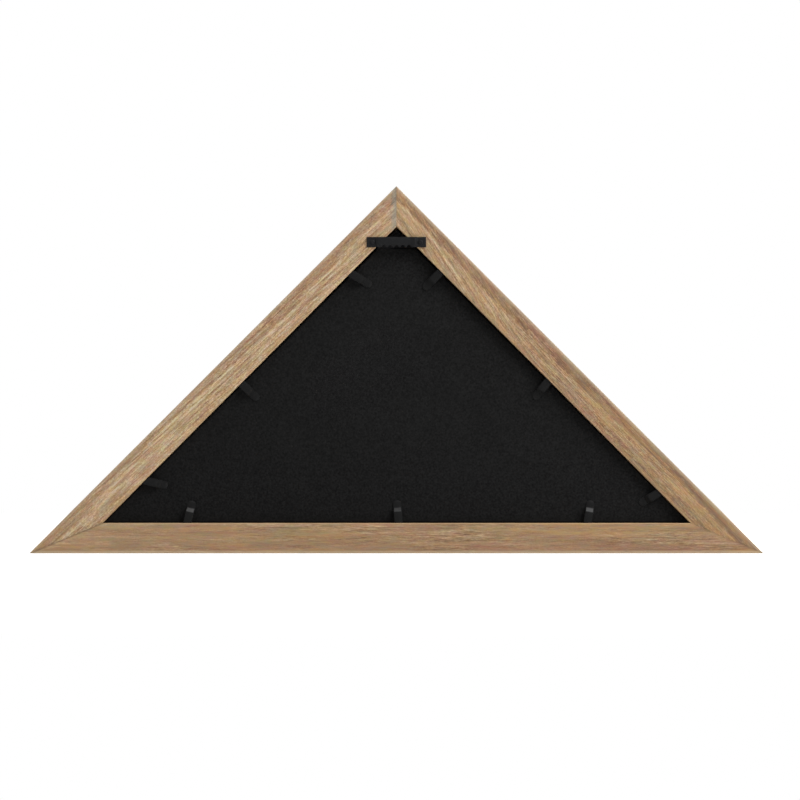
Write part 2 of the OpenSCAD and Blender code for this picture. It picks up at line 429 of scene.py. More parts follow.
def cut_slots(rail, side):
    """Slots that the shanks of the flex tabs were punched into."""
    for name, tab_side, share, lean, _ in TABS:
        if tab_side != side:
            continue
        half_w, half_t = TAB_W / 2 + SLOT_ROOM_W, TAB_T / 2 + SLOT_ROOM_T
        low = (-half_w, TAB_H - half_t, -TAB_BURY)
        slot = block("slot_" + name, low, (half_w, TAB_H + half_t, SLOT_MOUTH))
        open_mesh(slot)
        pick(slot, "FACE", lambda f: near(middle_of(f).z, -TAB_BURY))
        stretch((SLOT_POINT, 1, 1), (0, TAB_H, -TAB_BURY))
        clear_bench()
        root = Matrix.Translation((along(side, share), BOARD_BACK + BACK, WALL_T))
        slot.data.transform(root @ Matrix.Rotation(math.radians(lean), 4, "Y"))
        subtract(rail, slot)


def make_rail(name, side):
    """One rail, in its side's own frame with the depth measured from the front."""
    half = SIDE_L[side] / 2 + END_SPARE
    rail = block(name, (-half, 0, 0), (half, CASE_D, WALL_T))
    open_mesh(rail)
    cut_lip(rail)
    cut_front_moulding(rail)
    ease_long_edges(rail)
    if side != BOTTOM:
        taper_wall(rail, side)
    cut_mitres(rail, side)
    clear_bench()
    cut_slots(rail, side)
    return finish_mesh(rail, side_place(side) @ Matrix.Translation((0, -BACK, 0)))


# ---- Backing board ----
BOARD_EASE = 0.2


def make_board():
    """The three-sided board with its peak cut off, its edges lightly sanded."""
    depth = WALL_T + BOARD_GAP
    half = CASE_W / 2 - inset_at(0, depth)
    low, high = (-half, BOARD_BACK - BOARD_T, depth), (half, BOARD_BACK, BOARD_TOP)
    board = block("backing_board", low, high)
    open_mesh(board)
    peak = (0, 0, CASE_H - depth / math.cos(SLOPE))
    for way in (-1, 1):
        cut(peak, (way * math.sin(SLOPE), 0, math.cos(SLOPE)), trim=True)
    bpy.ops.mesh.select_mode(type="EDGE")
    bpy.ops.mesh.select_all(action="SELECT")
    ease(BOARD_EASE, 2)
    clear_bench()
    return finish_mesh(board, Matrix.Identity(4))


# ---- Flex tabs ----
# The strip's bends, its eased edges, the spare end that is cut off square at the wall, the
# steps of its round tip and how blunt it stops, and its root's rounding as a share of TAB_T
TAB_BEND = 0.9
TAB_EDGE = 0.08
TAB_SPARE = 2.0
TIP_STEPS = 7
TIP_BLUNT = 0.35
ROOT_ROUND = 0.46


def tab_stations():
    """Reach, height and half width of the strip at each of its cross lines."""
    pad_y = PAD_GAP + TAB_T / 2
    fall_end = TAB_LEVEL + TAB_FALL
    round_at = fall_end + TAB_PAD - TAB_W / 2
    corners = [(-TAB_SPARE, TAB_H), (TAB_LEVEL, TAB_H), (fall_end, pad_y), (round_at, pad_y)]
    path = rounded_path(corners, TAB_BEND)
    stations = [(p.x, p.y, TAB_W / 2) for p in path]
    for i in range(1, TIP_STEPS + 1):
        angle = math.pi / 2 * i / (TIP_STEPS + TIP_BLUNT)
        reach = round_at + TAB_W / 2 * math.sin(angle)
        stations.append((reach, pad_y, TAB_W / 2 * math.cos(angle)))
    return stations


def draw_strip(name, stations):
    """A strip drawn out cross line by cross line: x is its width and z its reach."""
    (z0, y0, w0), (z1, _, _) = stations[0], stations[1]
    strip = upright_sheet(name, (0, y0, (z0 + z1) / 2), 2 * w0, z1 - z0)
    open_mesh(strip)
    pick(strip, "EDGE", line_at(z=z1))
    for (za, ya, wa), (zb, yb, wb) in zip(stations[1:], stations[2:]):
        draw_out((0, yb - ya, zb - za))
        if not near(wa, wb):
            stretch((wb / wa, 1, 1), (0, yb, zb))
    clear_bench()
    return strip


def round_root(tab):
    """Cuts the strip square to the wall at its root and rounds that end."""
    end = BEND_IN - BEND_R
    open_mesh(tab)
    cut((0, 0, end), (0, 0, -1), trim=True)
    at_end = line_at(z=end)

    def across_end(edge):
        return at_end(edge) and abs(edge.verts[0].co.x - edge.verts[1].co.x) > TAB_W / 2

    pick(tab, "EDGE", across_end)
    ease(TAB_T * ROOT_ROUND, 4)
    clear_bench()


def write_mark(piece, name, levels):
    """Writes a number on each point of a piece's mesh, for its finish to read."""
    mark = piece.data.attributes.new(name, "FLOAT", "POINT")
    mark.data.foreach_set("value", levels)


def make_tabs():
    """The nine tabs: one strip is made, and each tab is a copy turned to its own lean."""
    strip = draw_strip("strip_pattern", tab_stations())
    thicken(strip, TAB_T)
    ease_corners(strip, TAB_EDGE)
    write_mark(strip, "reach", [v.co.z for v in strip.data.vertices])
    write_mark(strip, "breadth", [v.co.x for v in strip.data.vertices])
    made = {}
    for node, side, share, lean, highlight_share in TABS:
        tab = copied(strip, "flex_" + node)
        tab.data.transform(Matrix.Rotation(math.radians(lean), 4, "Y"))
        round_root(tab)
        # Each tab's share of the painted highlight on its fall
        write_mark(tab, "highlight_share", [highlight_share] * len(tab.data.vertices))
        made[node] = finish_mesh(tab, tab_place(side, share), 40)
    bpy.data.objects.remove(strip)
    return made


# ---- Sawtooth hanger and its nails ----
# The hanger's bends and edges, the punches for its notches and holes, and the nails with
# their points and their heads' rims
HANGER_BEND = 0.7
HANGER_EDGE = 0.16
NOTCH_SIDES = 28
HOLE_SIDES = 20
HOLE_ROOM = 0.06
CUT_PAST = 1.0
NAIL_SIDES = 32
NAIL_POINT_L = 1.6
NAIL_POINT = 0.2
NAIL_NECK = 0.02
HEAD_STEP = 0.001
HEAD_EDGE = 0.45

# The dome of a nail's head: each step's width as a share of the last, and its rise
HEAD_DOME = ((0.86, 0.28), (0.72, 0.16), (0.5, 0.09))


def rod(name, radius, low, high, sides):
    """A round blank along the depth, from one depth to another."""
    clear_bench()
    place, turn = (0, (low + high) / 2, 0), (-math.pi / 2, 0, 0)
    bpy.ops.mesh.primitive_cylinder_add(
        vertices=sides, radius=radius, depth=high - low, location=place, rotation=turn
    )
    return named(name)


def hanger_line():
    """Middle line of the hanger's steel, seen from above: (along, out from the rails)."""
    low, high = HANGER_T / 2, HANGER_RAISE + HANGER_T / 2
    tip = HANGER_L / 2
    fold = HANGER_T / 2 * math.tan(math.pi / 8)
    foot = tip - FLAT_L
    top = foot - HANGER_RAISE
    right = [(top + fold, high), (foot + fold, low), (tip, low)]
    left = [(-x, y) for x, y in reversed(right)]
    return rounded_path(left + right, HANGER_BEND)


def make_hanger():
    """The bent strip with its row of half-round notches, from the rails' back plane out."""
    line = hanger_line()
    centre = ((line[0].x + line[1].x) / 2, line[0].y, 0)
    hanger = upright_sheet("toothed_hanger", centre, line[1].x - line[0].x, HANGER_H)
    open_mesh(hanger)
    pick(hanger, "EDGE", line_at(x=line[1].x))
    for a, b in zip(line[1:], line[2:]):
        draw_out((b.x - a.x, b.y - a.y, 0))
    thicken(hanger, HANGER_T)
    cut_notches(hanger)
    cut_nail_holes(hanger)
    ease_corners(hanger, HANGER_EDGE)
    return finish_mesh(hanger, Matrix.Translation((0, BACK, HANGER_MID)), 30)


def cut_notches(hanger):
    """The row of notches along the lower edge, pressed a little wide and deep."""
    first = -(NOTCH_COUNT - 1) / 2 * NOTCH_PITCH
    pressed = Matrix.Diagonal((NOTCH_WIDE, 1, NOTCH_DEEP, 1))
    for i in range(NOTCH_COUNT):
        notch = rod("notch", NOTCH_R, -CUT_PAST, HANGER_RAISE + 3 * HANGER_T, NOTCH_SIDES)
        lower = Matrix.Translation((first + i * NOTCH_PITCH, 0, -HANGER_H / 2))
        notch.data.transform(lower @ pressed)
        subtract(hanger, notch)


def to_nail(piece, way):
    """Moves a piece to the place of one of the two nails."""
    piece.data.transform(Matrix.Translation((way * (HANGER_L / 2 - NAIL_IN), 0, 0)))


def cut_nail_holes(hanger):
    """A hole for a nail in each flat end."""
    for way in (-1, 1):
        hole = rod("hole", NAIL_R + HOLE_ROOM, -CUT_PAST, 2 * HANGER_T, HOLE_SIDES)
        to_nail(hole, way)
        subtract(hanger, hole)


def widen(share, depth):
    """Makes the selected ring of a nail wider or narrower about its axis."""
    stretch((share, 1, share), (0, depth, 0))


def make_nails():
    """Two nails with low domed heads, seated on the flat ends of the hanger."""
    seat = HANGER_T
    blunt_end = seat - NAIL_L + NAIL_POINT_L
    nail = rod("nail_pattern", NAIL_R, blunt_end, seat + NAIL_NECK, NAIL_SIDES)
    open_mesh(nail)
    pick(nail, "FACE", lambda f: f.normal.y < -SAME_WAY)
    draw_out((0, -NAIL_POINT_L, 0))
    widen(NAIL_POINT, seat - NAIL_L)
    pick(nail, "FACE", lambda f: f.normal.y > SAME_WAY)
    draw_out((0, HEAD_STEP, 0))
    widen(NAIL_HEAD_R / NAIL_R, seat)
    draw_out((0, NAIL_HEAD_T * HEAD_EDGE, 0))
    for share, rise in HEAD_DOME:
        draw_out((0, NAIL_HEAD_T * rise, 0))
        widen(share, seat)
    clear_bench()
    other = copied(nail, "nail_copy")
    to_nail(nail, -1)
    to_nail(other, 1)
    pair = join([nail, other], "hanger_nail_pair")
    return finish_mesh(pair, Matrix.Translation((0, BACK, HANGER_MID)), 40)


# ---- Finishes: the maker's tools ----
def paint(red, green, blue):
    """A screen colour, 0 to 255, as the light it stands for."""
    levels = [c / 255 for c in (red, green, blue)]
    return [c / 12.92 if c <= 0.04045 else ((c + 0.055) / 1.055) ** 2.4 for c in levels]


def sum_of(operation, reflected=False):
    """A method of Level that works out one kind of sum with a second level or number."""

    def method(level, other):
        parts = (other, level) if reflected else (level, other)
        return level.sum(operation, *parts)

    return method


class Level:
    """A number that varies over a surface. Sums on it add Math nodes."""

    __add__, __radd__ = sum_of("ADD"), sum_of("ADD", reflected=True)
    __sub__, __rsub__ = sum_of("SUBTRACT"), sum_of("SUBTRACT", reflected=True)
    __mul__, __rmul__ = sum_of("MULTIPLY"), sum_of("MULTIPLY", reflected=True)
    __pow__ = sum_of("POWER")
    least, most = sum_of("MINIMUM"), sum_of("MAXIMUM")

    def __init__(self, finish, socket):
        self.finish = finish
        self.socket = socket

    def sum(self, operation, *parts):
        """One Math node on levels and plain numbers."""
        made = self.finish.add("Math", dict(enumerate(parts)), operation=operation)
        return Level(self.finish, made.outputs[0])

    def __abs__(self):
        return self.sum("ABSOLUTE", self)

    def root(self):
        """Its square root."""
        return self.sum("SQRT", self)

    def part(self):
        """What is left past the whole number."""
        return self.sum("FRACT", self)

    def ramp(self, low, high):
        """From 0 at low to 1 at high, eased. With low above high it falls."""
        values = {"Value": self, "From Min": low, "From Max": high}
        made = self.finish.add("MapRange", values, interpolation_type="SMOOTHSTEP")
        return Level(self.finish, made.outputs["Result"])


SEEN_RAYS = ("Camera", "Glossy", "Transmission")


class Finish:
    """A material, or the light of the room, and the tools to lay it out."""

    def __init__(self, name, world=None):
        self.material = world or bpy.data.materials.new(name)
        self.material.use_nodes = True
        self.tree = self.material.node_tree
        self.tree.nodes.clear()
        self.output = self.add("OutputWorld" if world else "OutputMaterial")

    def add(self, kind, values=None, **settings):
        """A shader node of a kind, with its settings and its sockets' values or links."""
        node = self.tree.nodes.new("ShaderNode" + kind)
        for name, setting in settings.items():
            setattr(node, name, setting)
        for key, value in (values or {}).items():
            value = value.socket if isinstance(value, Level) else value
            value = value.outputs[0] if isinstance(value, bpy.types.Node) else value
            if isinstance(value, bpy.types.NodeSocket):
                self.tree.links.new(value, node.inputs[key])
            elif isinstance(value, (list, tuple)) and node.inputs[key].type == "RGBA":
                node.inputs[key].default_value = (*value[:3], 1.0)
            else:
                node.inputs[key].default_value = value
        return node

    def place(self):
        """The piece's own coordinates, in metres."""
        return self.add("TexCoord").outputs["Object"]

    def split(self, vector):
        """The three levels of a vector."""
        made = self.add("SeparateXYZ", {0: vector})
        return [Level(self, made.outputs[i]) for i in range(3)]

    def point(self, x, y, z):
        """A vector from three levels."""
        return self.add("CombineXYZ", {0: x, 1: y, 2: z}).outputs[0]

    def noise(self, vector, scale=1.0, detail=2.0, rough=0.5, twist=0.0):
        """Soft noise about a middle of one half."""
        values = {"Vector": vector, "Scale": scale, "Detail": detail}
        values.update({"Roughness": rough, "Distortion": twist})
        made = self.add("TexNoise", values, noise_dimensions="3D")
        return Level(self, made.outputs[0])

    def cells(self, vector, scale):
        """Distance to the nearest of a scatter of points."""
        values = {"Vector": vector, "Scale": scale}
        made = self.add("TexVoronoi", values, feature="F1")
        return Level(self, made.outputs["Distance"])

    def mark(self, name):
        """A number written on the piece's mesh."""
        made = self.add("Attribute", attribute_name=name)
        return Level(self, made.outputs["Fac"])

    def tones(self, level, stops):
        """A run of colours that a level picks from. Two stops are there from the start."""
        made = self.add("ValToRGB", {0: level})
        elements = made.color_ramp.elements
        for place, _ in stops[2:]:
            elements.new(place)
        for element, (place, colour) in zip(elements, stops):
            element.position = place
            element.color = (*colour, 1.0)
        return made.outputs["Color"]

    def blend(self, colour, other, share, way="MIX"):
        """One colour laid over another by a share."""
        settings = {"data_type": "RGBA", "blend_type": way, "clamp_factor": True}
        made = self.add("Mix", {0: share, 6: colour, 7: other}, **settings)
        return made.outputs[2]

    def shade(self, colour, level):
        """A colour made lighter or darker by a level, where 1 leaves it."""
        made = self.add("VectorMath", {0: colour, 3: level}, operation="SCALE")
        return made.outputs[0]

    def bump(self, height, distance, strength):
        """Fine relief from a height. The distance is its depth in metres."""
        values = {"Height": height, "Distance": distance, "Strength": strength}
        return self.add("Bump", values).outputs["Normal"]

    def surface(self, **values):
        """The shader itself. Names are the sockets' names with _ for a space."""
        sockets = {name.replace("_", " "): value for name, value in values.items()}
        return self.show(self.add("BsdfPrincipled", sockets))

    def show(self, shader):
        """Puts a shader out, and returns what was made."""
        self.tree.links.new(shader.outputs[0], self.output.inputs["Surface"])
        return self.material

    def seen_share(self):
        """1 for what the eye sees, straight or in a sheen or through glass, else 0."""
        path = self.add("LightPath")
        rays = [Level(self, path.outputs["Is %s Ray" % kind]) for kind in SEEN_RAYS]
        return rays[0].most(rays[1]).most(rays[2])


# ---- Driftwood ----
WOOD_TONES = [
    (0.00, paint(106, 80, 60)),
    (0.24, paint(136, 108, 82)),
    (0.50, paint(167, 139, 108)),
    (0.74, paint(191, 165, 133)),
    (1.00, paint(218, 199, 168)),
]
ROSE = paint(166, 126, 106)
GOLD = paint(186, 152, 104)
MOSS = paint(148, 136, 104)
STONE = paint(136, 130, 117)
PUTTY = paint(138, 104, 76)
# Colour of the painted highlight along the rails' inner arris
ARRIS_HIGHLIGHT = paint(204, 172, 130)
BLEACHED = paint(208, 190, 160)

# Thin washes of colour that lie over a board in small drifts
PINK_WASH = (0.992, 0.888, 0.905)
GREEN_WASH = (0.917, 0.977, 0.975)
YELLOW_WASH = (1.00, 0.978, 0.815)
GREY_WASH = (0.948, 0.944, 1.00)

# What sets one rail's board apart: the values of the bottom, the right and the left one
LOOKS = {
    # Its seed, how its grain bends and tilts, and how short its streaks are
    "seed": (3.7, 11.2, 23.9),
    "waver": (2.0, 3.0, 5.0),
    "ripple": (0.6, 0.6, 1.2),
    "lean": (0.0, 0.045, 0.0),
    "slant": (0.0, 0.0, 26.0),
    "run": (1.5, 1.0, 1.4),
    # Its figure, then how light it is and how that changes along it
    "contrast": (0.70, 0.92, 0.82),
    "grit": (0.30, 1.0, 0.75),
    "long": (0.28, 0.85, 0.30),
    "patchy": (1.0, 0.3, 0.4),
    "broad": (0.60, 0.15, 0.25),
    "lift": (0.005, 0.185, -0.11),
    "drift": (0.19, -0.04, -0.37),
    # Its bands, grain lines and mottle
    "outer": (0.08, 0.75, 1.55),
    "belt": (0.0, 0.45, 0.30),
    "belt_at": ((6.5, 13.0), (5.6, 9.6), (6.8, 13.0)),
    "hem": (0.0, 0.0, 0.8),
    "lines": (0.35, 0.40, 0.75),
    "curl": (0.15, 0.45, 0.60),
    # Its hues, then its grey mitre, its pale rim and the painted shade in its mitre joints
    "rose": (0.60, 0.45, 0.35),
    "gold": (0.60, 0.25, 0.40),
    "moss": (0.50, 0.35, 0.45),
    "wash": (3.9, 6.2, 6.2),
    "weathered": (0.0, 0.76, 0.0),
    "edge": (0.60, 0.28, 0.34),
    "seam": ((0.10, 0.36), (0.18, 0.06), (0.06, 0.12)),
}

# The grain's noises: how tight each is along the board, across it and into it, per
# millimetre, its detail, its roughness, and which way the board's seed shifts it
GRAIN = {
    "broad": ((0.008, 0.06, 0.13), 1.0, 0.50, (0, 0, 1)),
    "long": ((0.0045, 0.45, 0.62), 3.0, 0.65, (-1, 0, 0)),
    "streak": ((0.014, 0.52, 0.60), 4.0, 0.70, (1, 0, 0)),
    "short": ((0.055, 0.95, 1.10), 2.0, 0.65, (-1, 0, 0)),
    "fleck": ((0.20, 1.60, 1.80), 2.0, 0.60, (0, 1, 0)),
    "grit": ((0.85, 1.20, 1.30), 1.0, 0.50, (0, -1, 0)),
    "fibre": ((1.00, 7.00, 8.00), 1.0, 0.50, (0, 0, 1)),
    "dash": ((0.08, 0.90, 1.15), 1.0, 0.50, (1, 0, 0)),
    "gleam": ((0.06, 0.80, 1.00), 1.0, 0.50, (-1, 0, 0)),
    "mottle": ((0.24, 0.28, 0.36), 4.0, 0.65, (1, 0, 0)),
    "patches": ((0.014, 0.03, 0.05), 1.0, 0.50, (0, 0, 1)),
    "loops": ((0.0045, 0.09, 0.20), 1.4, 0.40, (1, 0, 0)),
}

# These are shortened by the board's own run
RUNNING = ("streak", "short", "fleck", "dash", "gleam")

# The noises of the hues that drift over the grain, and how far apart their seeds are
HUES = {
    "rose": (0.022, 0.14, 0.20),
    "gold": (0.016, 0.16, 0.20),
    "moss": (0.030, 0.14, 0.22),
    "pink": (0.170, 0.36, 0.46),
    "warm": (0.150, 0.34, 0.42),
}
HUE_SEEDS = 5.3
HUE_PATCHES = (0.46, 0.67)

# How the grain wanders: slow and quick noises, how far across, where along the board and
# towards its back the slant comes in, and how many loops the grain lines make
SLOW_WANDER = (0.008, 0.02, 0.03)
QUICK_WANDER = (0.05, 0.09, 0.14)
ACROSS_WANDER = 1.4
SLANT_ALONG = (-40.0, 140.0)
RISE_TO_BACK = (0.0, 33.0)
LOOPS = 24.0

# How a grain line darkens and then ends, and where patches, dashes and gleams begin
LINE_DARKENS, LINE_ENDS = (0.25, 0.92), (1.0, 0.94)
PATCH_FROM, DASH_FROM, GLEAM_FROM = (0.38, 0.62), (0.62, 0.72), (0.63, 0.74)

# How much each noise and band changes the wood's lightness
STREAK_SHARE, SHORT_SHARE, FLECK_SHARE, GRIT_SHARE = 0.95, 1.15, 0.95, 0.90
FIBRE_SHARE, DASH_SHARE, GLEAM_SHARE, LINES_SHARE = 0.20, 0.14, 0.11, 0.22
BELT_SHARE, HEM_SHARE, OUTER_SHARE = 0.14, 0.14, 0.20

# How far noises throw the edges of the bands and of the grey mitre, how the belt's edges
# fade, in millimetres, and how much of the bands is left away from the back
BAND_THROW = {"broad": 10.0, "mottle": 3.0}
GREY_THROW = {"mottle": 7.0, "fleck": 3.0}
BELT_STARTS, BELT_ENDS = (-0.6, 1.2), (1.5, -1.5)
BAND_LEFT = 0.35

# The grey's lightness: its least, by tone and by hue. Then the rose of the outer band, the
# gold of the belt, the painted highlight on the inner arris, and the brads' putty: its soft
# edge, depth and share
GREY_LEAST, GREY_BY_TONE, GREY_BY_HUE = 0.06, 0.80, 1.05
BAND_ROSE, BELT_GOLD, ARRIS_HIGHLIGHT_SHARE = 0.35, 0.5, 0.45
PUTTY_EDGE, PUTTY_DEPTH, PUTTY_SHARE = 0.2, (0.6, 0.3), 0.8

# Where a mask goes from 0 to 1, in millimetres: from front to back, and in from outside
TO_BACK = (24.0, 34.0)
GREY_TO_BACK = (24.0, 33.0)
BACK_FACE = (34.2, 34.75)
OUTER_BAND = (7.6, 5.2)
HEM_STARTS = (4.6, 6.0)
HEM_ENDS = (7.6, 6.4)
BLEACHED_RIM = (2.4, 0.5)
# The painted highlight along the inner arris
ARRIS_HIGHLIGHT_BAND = (18.2, 18.7)
GREY_MITRE = (3.8, 1.6)
# The painted shade along the mitre joints
SEAM_SHADE_BAND = (1.1, 0.2)


def board_frame(f, side):
    """Coordinates on a rail, in millimetres: along it, from front to back, and inwards."""
    place, turn = side_place(side).to_translation() * MM, (0, SIDE_TURN[side], 0)
    values = {"Vector": f.place(), "Location": place, "Rotation": turn, "Scale": (MM,) * 3}
    return f.split(f.add("Mapping", values, vector_type="TEXTURE").outputs[0])


def drawn_noise(f, spot, tight, shift, detail, rough):
    """Noise drawn out along the grain: its tightness each way per millimetre, and its shift."""
    ways = [way * scale for way, scale in zip(spot, tight)]
    ways = [way + move if move else way for way, move in zip(ways, shift)]
    return f.noise(f.point(*ways), detail=detail, rough=rough)


def grain_frame(f, x, y, z, look, side):
    """The same coordinates, bent as the grain wanders through the board."""
    slow = drawn_noise(f, (x, y, z), SLOW_WANDER, (look["seed"], 0, 0), 1.0, 0.5)
    quick = drawn_noise(f, (x, y, z), QUICK_WANDER, (-look["seed"], 0, 0), 2.0, 0.5)
    ripple = (quick - 0.5) * look["ripple"]
    wander = (slow - 0.5) * look["waver"] + ripple
    low, high = (reach - SIDE_L[side] / 2 for reach in SLANT_ALONG)
    rise = x.ramp(low, high) * look["slant"] + x * look["lean"]
    rise = rise * y.ramp(*RISE_TO_BACK)
    return x, y + wander * ACROSS_WANDER - ripple, z + wander - rise


def grain_noises(f, spot, look):
    """All the noises of one board, by name."""
    x, across, inward = spot
    running = (x * look["run"], across, inward)
    noises = {}
    for name, (tight, detail, rough, signs) in GRAIN.items():
        shift = [sign * look["seed"] for sign in signs]
        where = running if name in RUNNING else spot
        noises[name] = drawn_noise(f, where, tight, shift, detail, rough)
    return noises


def grain_lines(loops):
    """Grain lines: long loops that darken slowly and end sharply, as late wood does."""
    turns = (loops * LOOPS).part()
    return turns.ramp(*LINE_DARKENS) * turns.ramp(*LINE_ENDS)


def hue_masks(f, spot, look):
    """Where each hue lies, in broken drifts along the grain."""
    masks = {}
    for i, (hue, tight) in enumerate(HUES.items()):
        shift = (look["seed"] + HUE_SEEDS * i, 0, 0)
        masks[hue] = drawn_noise(f, spot, tight, shift, 4.0, 0.70)
    for hue in ("rose", "gold", "moss"):
        masks[hue] = masks[hue].ramp(*HUE_PATCHES)
    return masks


def thrown(distance, grain, throw):
    """A distance thrown about by noises, so that an edge drawn by it is ragged."""
    for name, reach in throw.items():
        distance = distance + (grain[name] - 0.5) * reach
    return distance


def bands_along(y, z, grain, look):
    """The dark outer band of a rail's back, the hem inside it, and the pale belt."""
    face_on = BAND_LEFT + (1 - BAND_LEFT) * y.ramp(*TO_BACK)
    wavy = thrown(z, grain, BAND_THROW)
    start, end = look["belt_at"]
    belt = wavy.ramp(*(start + fade for fade in BELT_STARTS))
    belt = belt * z.ramp(*(end + fade for fade in BELT_ENDS))
    return {
        "outer": wavy.ramp(*OUTER_BAND) * face_on,
        "hem": wavy.ramp(*HEM_STARTS) * wavy.ramp(*HEM_ENDS) * face_on,
        "belt": belt * y.ramp(*TO_BACK),
    }


def wood_tone(x, grain, bands, look, side):
    """How light the wood is: the board's own level, then its drifts, streaks and bands."""
    contrast = look["contrast"]
    vivid = contrast * (1.0 + (grain["patches"].ramp(*PATCH_FROM) - 0.5) * look["patchy"])
    middle = (STREAK_SHARE + SHORT_SHARE + FLECK_SHARE) / 2
    streaks = grain["streak"] * STREAK_SHARE + grain["short"] * SHORT_SHARE
    streaks = streaks + grain["fleck"] * FLECK_SHARE - middle
    return (
        0.50
        + look["lift"]
        + x * (look["drift"] / SIDE_L[side])
        + (grain["broad"] - 0.5) * look["broad"]
        + (grain["long"] - 0.5) * look["long"]
        + streaks * vivid
        + (grain["grit"] - 0.5) * (GRIT_SHARE * look["grit"])
        + (grain["fibre"] - 0.5) * FIBRE_SHARE
        + (grain["mottle"] - 0.5) * (bands["outer"] + 0.25) * look["curl"]
        - (grain["lines"] - 0.25) * (LINES_SHARE * look["lines"])
        + bands["belt"] * (BELT_SHARE * look["belt"])
        - bands["hem"] * (HEM_SHARE * look["hem"])
        - bands["outer"] * (OUTER_SHARE * look["outer"])
        - grain["dash"] * (DASH_SHARE * contrast)
        + grain["gleam"] * (GLEAM_SHARE * contrast)
    )


def seam_distances(x, z, side):
    """Distances from the mitre at the start of the side and from the one at its end."""
    half = SIDE_L[side] / 2
    first, last = HALF_ANGLE[side], HALF_ANGLE[(side + 1) % 3]
    from_start = (x + half) * math.sin(first) - z * math.cos(first)
    from_end = (half - x) * math.sin(last) - z * math.cos(last)
    return from_start, from_end


def rim_masks(y, z, x, from_end, grain, look, side):
    """The bleached outer rim, the painted highlight on the inner arris, and the grey patch on a
    mitre.
    """
    back = y.ramp(*BACK_FACE)
    wall = z if side == BOTTOM else z + wall_loss(side, x)
    masks = {"edge": z.ramp(*BLEACHED_RIM) * back, "arris": back * wall.ramp(*ARRIS_HIGHLIGHT_BAND)}
    if look["weathered"]:
        ragged = thrown(from_end, grain, GREY_THROW)
        masks["weathered"] = ragged.ramp(*GREY_MITRE) * y.ramp(*GREY_TO_BACK)
    return masks


def wood_colour(f, tone, masks, look):
    """Base tones, then the rose, gold, moss and grey that drift over them."""
    colour = f.tones(tone, WOOD_TONES)
    for hue, over in (("rose", ROSE), ("gold", GOLD), ("moss", MOSS)):
        colour = f.blend(colour, over, masks[hue] * look[hue])
    for hue, cool, warm in (("pink", GREEN_WASH, PINK_WASH), ("warm", GREY_WASH, YELLOW_WASH)):
        wash = f.blend(cool, warm, 0.5 + (masks[hue] - 0.5) * look["wash"])
        colour = f.blend(colour, wash, 1.0, "MULTIPLY")
    if look["weathered"]:
        light = GREY_LEAST + tone * GREY_BY_TONE + masks["pink"] * GREY_BY_HUE
        colour = f.blend(colour, f.shade(STONE, light), masks["weathered"] * look["weathered"])
    colour = f.blend(colour, BLEACHED, masks["edge"] * look["edge"])
    # A painted highlight along the inner arris
    return f.blend(colour, ARRIS_HIGHLIGHT, masks["arris"] * ARRIS_HIGHLIGHT_SHARE)


def fill_brads(f, colour, x, y, z, side):
    """Putty where the corner brads were set below the outer face."""
    low, peak = BRAD_LOW_IN - SIDE_L[side] / 2, BRAD_PEAK_IN - SIDE_L[side] / 2
    places = {BOTTOM: [], RIGHT: [low], LEFT: [-low, peak]}[side]
    if not places:
        return colour
    spots = 0.0
    for place in places:
        for depth in (-BRAD_PITCH / 2, BRAD_PITCH / 2):
            away = ((x - place) ** 2 + (y - depth) ** 2).root()
            spots = away.ramp(BRAD_HEAD_R + PUTTY_EDGE, BRAD_HEAD_R - PUTTY_EDGE) + spots
    return f.blend(colour, PUTTY, spots * z.ramp(*PUTTY_DEPTH) * PUTTY_SHARE)


def wood_relief(grain):
    """Raised streaks and fibres, sunk dashes and grain lines."""
    raised = grain["streak"] * 0.4 + grain["short"] * 0.5 + grain["fleck"] * 0.6
    return raised + grain["fibre"] * 0.3 - grain["dash"] * 0.5 - grain["lines"] * 0.3


def driftwood(name, side):
    """Weathered tan board: fine broken streaks, grain lines and a darker outer third."""
    look = {name: values[side] for name, values in LOOKS.items()}
    f = Finish(name)
    x, y, z = board_frame(f, side)
    spot = grain_frame(f, x, y, z, look, side)
    grain = grain_noises(f, spot, look)
    grain["lines"] = grain_lines(grain["loops"])
    grain["dash"] = grain["dash"].ramp(*DASH_FROM)
    grain["gleam"] = grain["gleam"].ramp(*GLEAM_FROM)
    bands = bands_along(y, z, grain, look)
    tone = wood_tone(x, grain, bands, look, side)

    from_start, from_end = seam_distances(x, z, side)
    masks = hue_masks(f, spot, look)
    masks["rose"] = (masks["rose"] + bands["outer"] * BAND_ROSE).least(1.0)
    masks["gold"] = (masks["gold"] + bands["belt"] * (BELT_GOLD * look["belt"])).least(1.0)
    masks.update(rim_masks(y, z, x, from_end, grain, look, side))
    colour = fill_brads(f, wood_colour(f, tone, masks, look), x, y, z, side)
    # Painted shade along the mitre joints, darkening the colour near each joint
    first, last = look["seam"]
    seam_shade = 1.0 - from_start.ramp(*SEAM_SHADE_BAND) * first - from_end.ramp(*SEAM_SHADE_BAND) * last
    return f.surface(
        Base_Color=f.shade(colour, seam_shade),
        Roughness=0.64 + (grain["fleck"] - 0.5) * 0.25 - grain["lines"] * 0.05,
        Specular_IOR_Level=0.25,
        Normal=f.bump(wood_relief(grain), 0.00022, 0.55),
    )


# ---- The other finishes ----
BOARD_BLACK = paint(22, 22, 22)
FELT_BLACK = paint(30, 30, 32)
LINER_BLACK = paint(33, 32, 33)
STRIP_BLACK = paint(20, 20, 20)
# Grey of the painted highlight on the tabs' falls
FALL_HIGHLIGHT_GREY = paint(76, 76, 76)
LACQUER_BLACK = paint(26, 26, 27)
CHIPPED_STEEL = paint(74, 72, 70)
WIRE_GREY = paint(168, 168, 170)
GLASS_TINT = (0.965, 0.985, 0.975)
MIRROR_TINT = (0.90, 0.93, 0.92)
GLASS_SHEEN = 0.014


